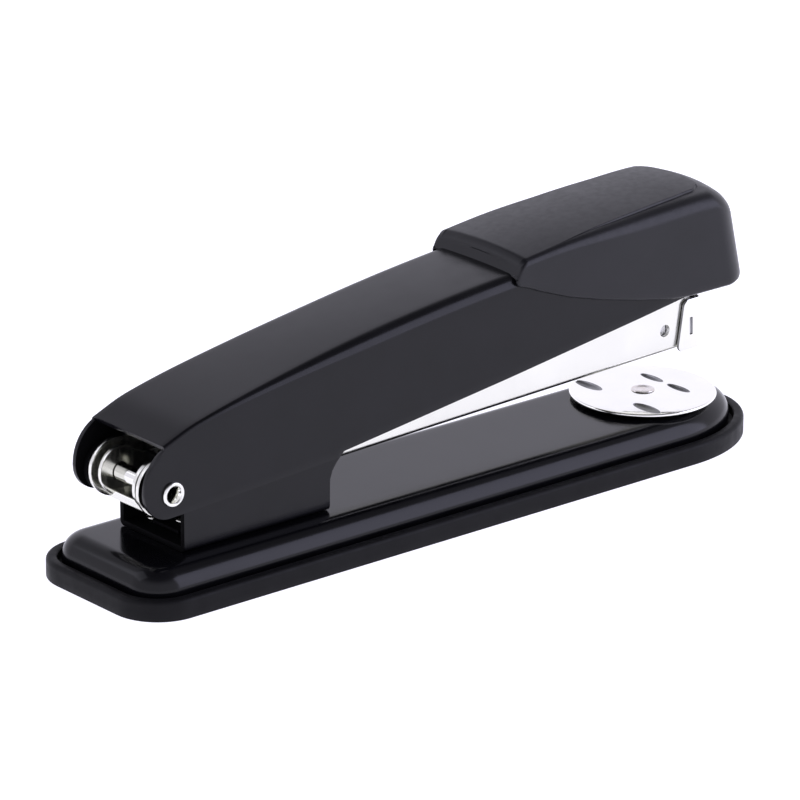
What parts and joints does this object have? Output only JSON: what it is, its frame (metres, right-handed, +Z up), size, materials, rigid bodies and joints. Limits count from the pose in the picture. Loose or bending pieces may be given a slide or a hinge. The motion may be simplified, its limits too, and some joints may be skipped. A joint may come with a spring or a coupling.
{
  "type": "stapler",
  "caption": "Desk stapler with a rubber-footed base, turning anvil disc, hinged staple magazine with a sprung follower, and a sprung sheet-metal cover with a palm cap.",
  "frame": {"origin": "on the table, under the middle of the base's bounding box", "axes": "+X towards the staple nose, +Z up, Y across; the object is symmetric about Y = 0"},
  "size_m": [0.16, 0.0378, 0.0532],
  "materials": {
    "rubber": "matte black rubber",
    "gloss_black": "glossy black enamel",
    "satin_black": "satin black enamel",
    "cap_plastic": "fine-grained black plastic",
    "chrome": "bright plated",
    "bright_steel": "bright nickel-plated sheet",
    "spring_steel": "tempered spring steel",
    "staple_wire": "galvanised wire"
  },
  "bodies": {
    "base": {"rubber_base": "rubber", "base_plate": "gloss_black", "hinge_bracket": "satin_black", "bracket_rivet_1": "bright_steel", "bracket_rivet_2": "bright_steel", "bracket_rivet_3": "bright_steel", "bracket_rivet_4": "bright_steel", "pivot_rivet": "chrome", "lift_spring": "spring_steel", "lift_spring_rivet": "bright_steel"},
    "magazine": {"magazine_channel": "bright_steel", "staple_rail": "bright_steel", "nose_guide": "chrome", "guide_rod": "bright_steel", "staple_strip": "staple_wire", "follower_spring": "spring_steel"},
    "cover": {"cover": "satin_black", "cap": "cap_plastic", "driver_blade": "bright_steel", "driver_rivet_1": "bright_steel", "driver_rivet_2": "bright_steel", "return_spring": "spring_steel", "return_spring_rivet": "bright_steel"},
    "follower": {"follower": "bright_steel"},
    "anvil_button": {"anvil_button": "cap_plastic", "anvil_spring": "spring_steel"},
    "anvil": {"anvil_disc": "chrome", "anvil_stem": "chrome"}
  },
  "joints": [
    {"name": "magazine_hinge", "type": "hinge", "parent": "base", "child": "magazine", "pos_m": [-0.0682, 0, 0.0214], "axis": [0, 1, 0], "range_deg": [-60, 4.1], "stiffness_Nm_per_rad": 4, "springref_deg": -1.23, "deforming": ["lift_spring"]},
    {"name": "cover_hinge", "type": "hinge", "parent": "magazine", "child": "cover", "pos_m": [-0.0682, 0, 0.0214], "axis": [0, 1, 0], "range_deg": [-90, 4.2], "stiffness_Nm_per_rad": 3, "springref_deg": -0.89, "deforming": ["return_spring"]},
    {"name": "follower_slide", "type": "slide", "parent": "magazine", "child": "follower", "axis": [0.9995, 0, 0.03], "range_m": [-0.06, 0], "stiffness_N_per_m": 30, "springref_m": 0.08, "deforming": ["follower_spring"]},
    {"name": "anvil_lift", "type": "slide", "parent": "base", "child": "anvil_button", "axis": [0, 0, -1], "range_m": [-0.0018, 0], "stiffness_N_per_m": 1000, "springref_m": 0.002, "deforming": ["anvil_spring"]},
    {"name": "anvil_turn", "type": "hinge", "parent": "anvil_button", "child": "anvil", "pos_m": [0.0581, 0, 0.0096], "axis": [0, 0, 1], "continuous": true}
  ]
}
